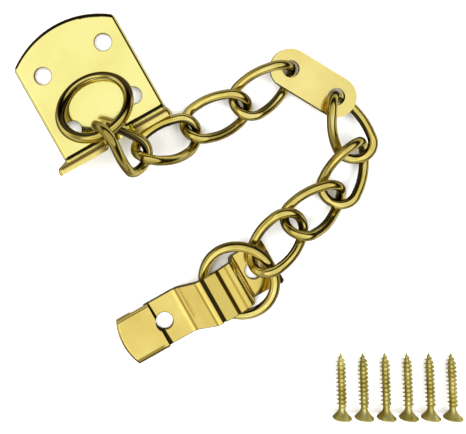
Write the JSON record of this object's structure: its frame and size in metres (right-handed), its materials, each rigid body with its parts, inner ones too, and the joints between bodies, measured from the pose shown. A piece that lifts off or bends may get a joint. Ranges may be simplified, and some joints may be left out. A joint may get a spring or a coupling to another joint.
{
  "type": "door chain guard",
  "caption": "Brass door chain guard: L-shaped slotted keeper plate, twisted-link chain with end rings and a flat tab, door bracket with sliding cap, and wood screws.",
  "frame": {"origin": "middle of the keeper plate's four screw holes, on its back face", "axes": "+X along the keeper's lip, +Y towards its arched top, +Z out of its face, the way the lip stands"},
  "size_m": [0.1298, 0.2171, 0.0321],
  "materials": {
    "polished_brass": "polished and lacquered",
    "antique_brass_wire": "polished, darker brass plate",
    "brassed_steel": "brass-plated steel, satin"
  },
  "bodies": {
    "keeper": {"keeper_plate": "polished_brass"},
    "link_1": {"chain_link_1": "antique_brass_wire"},
    "keeper_ring": {"keeper_ring": "antique_brass_wire"},
    "link_2": {"chain_link_2": "antique_brass_wire"},
    "link_3": {"chain_link_3": "antique_brass_wire"},
    "link_4": {"chain_link_4": "antique_brass_wire"},
    "tab": {"chain_tab": "polished_brass"},
    "link_5": {"chain_link_5": "antique_brass_wire"},
    "link_6": {"chain_link_6": "antique_brass_wire"},
    "link_7": {"chain_link_7": "antique_brass_wire"},
    "link_8": {"chain_link_8": "antique_brass_wire"},
    "bracket_ring": {"bracket_ring": "antique_brass_wire"},
    "bracket": {"door_bracket": "polished_brass"},
    "cap": {"bracket_cap": "polished_brass"},
    "keeper_screws": {"keeper_screws": "brassed_steel"},
    "bracket_screws": {"bracket_screws": "brassed_steel"}
  },
  "joints": [
    {"name": "chain_release", "type": "slide", "parent": "keeper", "child": "link_1", "axis": [0, 0, 1], "range_m": [0, 0.03]},
    {"name": "keeper_ring_swing", "type": "hinge", "parent": "link_1", "child": "keeper_ring", "pos_m": [-0.0012, -0.0191, 0.0234], "axis": [1, 0, 0], "range_deg": [0, 30]},
    {"name": "link_1_2", "type": "hinge", "parent": "link_1", "child": "link_2", "pos_m": [0.0065, -0.03, 0.014], "axis": [0, 0, 1], "range_deg": [-24, 3]},
    {"name": "link_2_3", "type": "hinge", "parent": "link_2", "child": "link_3", "pos_m": [0.0272, -0.0383, 0.0052], "axis": [0, 0, -1], "range_deg": [-34, 2]},
    {"name": "link_3_4", "type": "hinge", "parent": "link_3", "child": "link_4", "pos_m": [0.0493, -0.0355, 0.0053], "axis": [0, 0, 1], "range_deg": [-34, 5]},
    {"name": "link_4_tab", "type": "hinge", "parent": "link_4", "child": "tab", "pos_m": [0.0723, -0.0339, 0.0064], "axis": [0, 0, -1], "range_deg": [-20, 26]},
    {"name": "tab_link_5", "type": "hinge", "parent": "tab", "child": "link_5", "pos_m": [0.0832, -0.0527, 0.0064], "axis": [0, 0, 1], "range_deg": [-20, 28]},
    {"name": "link_5_6", "type": "hinge", "parent": "link_5", "child": "link_6", "pos_m": [0.0797, -0.073, 0.0066], "axis": [0, 0, -1], "range_deg": [-31, 3]},
    {"name": "link_6_7", "type": "hinge", "parent": "link_6", "child": "link_7", "pos_m": [0.0635, -0.085, 0.0074], "axis": [0, 0, 1], "range_deg": [-6, 34]},
    {"name": "link_7_8", "type": "hinge", "parent": "link_7", "child": "link_8", "pos_m": [0.0436, -0.0866, 0.0086], "axis": [0, 0, -1], "range_deg": [-3, 34]},
    {"name": "link_8_ring", "type": "hinge", "parent": "link_8", "child": "bracket_ring", "pos_m": [0.0225, -0.095, 0.0089], "axis": [0, 0, 1], "range_deg": [-3, 4]},
    {"name": "ring_bracket", "type": "hinge", "parent": "bracket_ring", "child": "bracket", "pos_m": [0.0001, -0.0973, 0.00234], "axis": [0, 1, 0], "range_deg": [0, 24]},
    {"name": "cap_slide", "type": "slide", "parent": "bracket", "child": "cap", "axis": [1, 0, 0], "range_m": [-0.004, 0.006]},
    {"name": "keeper_screws_lift", "type": "slide", "parent": "keeper", "child": "keeper_screws", "axis": [0, 0, 1], "range_m": [0, 0.02]},
    {"name": "bracket_screws_lift", "type": "slide", "parent": "keeper", "child": "bracket_screws", "axis": [0, 0, 1], "range_m": [0, 0.02]}
  ]
}
